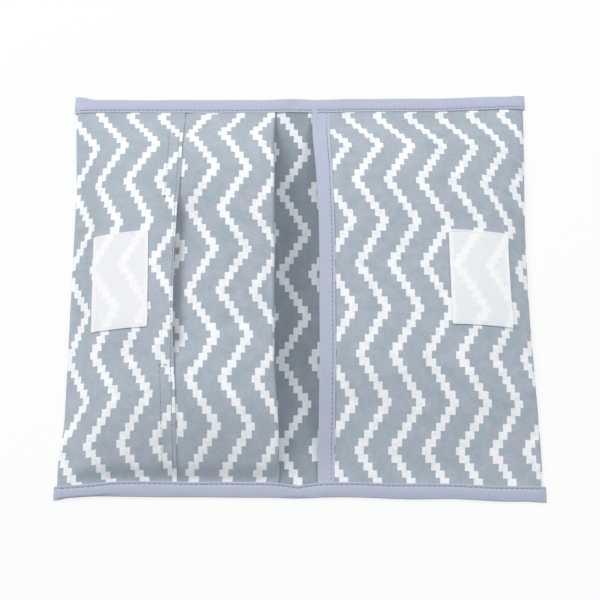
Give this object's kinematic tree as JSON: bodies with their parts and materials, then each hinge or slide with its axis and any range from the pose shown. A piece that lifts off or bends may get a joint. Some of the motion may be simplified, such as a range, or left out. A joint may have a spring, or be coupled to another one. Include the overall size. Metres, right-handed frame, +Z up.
{
  "type": "diaper pouch",
  "caption": "Open book-style cloth pouch with a slit pocket for wipes, a bound-mouth pocket for diapers, bound edges and a hook-and-loop closure, folding shut at its spine.",
  "frame": {"origin": "centre of the open pouch's outline, on the table that it lies on", "axes": "+X towards the diaper pocket, +Y towards the top edge, +Z up out of the pockets"},
  "size_m": [0.3016, 0.28, 0.0235],
  "materials": {
    "printed_cloth": "smooth laminated polyester with a white stepped zigzag print",
    "lining_cloth": "the same printed cloth, face inwards",
    "binding_tape": "folded matte woven tape",
    "loop_pile": "brushed white loop pile",
    "hook_tape": "milky nylon hook tape with fine ribs"
  },
  "bodies": {
    "diaper_half": {"back_cover_right": "printed_cloth", "lining_right": "lining_cloth", "diaper_pocket_front": "printed_cloth", "mouth_binding": "binding_tape", "hook_patch": "hook_tape", "top_binding_right": "binding_tape", "bottom_binding_right": "binding_tape"},
    "spine": {"back_cover_spine": "printed_cloth", "lining_spine": "lining_cloth", "top_binding_spine": "binding_tape", "bottom_binding_spine": "binding_tape"},
    "wipes_half": {"back_cover_left": "printed_cloth", "lining_left": "lining_cloth", "wipes_flap": "printed_cloth", "wipes_inner_panel": "printed_cloth", "wipes_side_wall": "printed_cloth", "loop_patch": "loop_pile", "top_binding_left": "binding_tape", "bottom_binding_left": "binding_tape"}
  },
  "joints": [
    {"name": "spine_fold", "type": "hinge", "parent": "diaper_half", "child": "spine", "pos_m": [0.01525, 0, 0.0065], "axis": [0, 1, 0], "range_deg": [0, 90]},
    {"name": "wipes_fold", "type": "hinge", "parent": "spine", "child": "wipes_half", "pos_m": [-0.01525, 0, 0.0065], "axis": [0, 1, 0], "range_deg": [0, 90]}
  ]
}
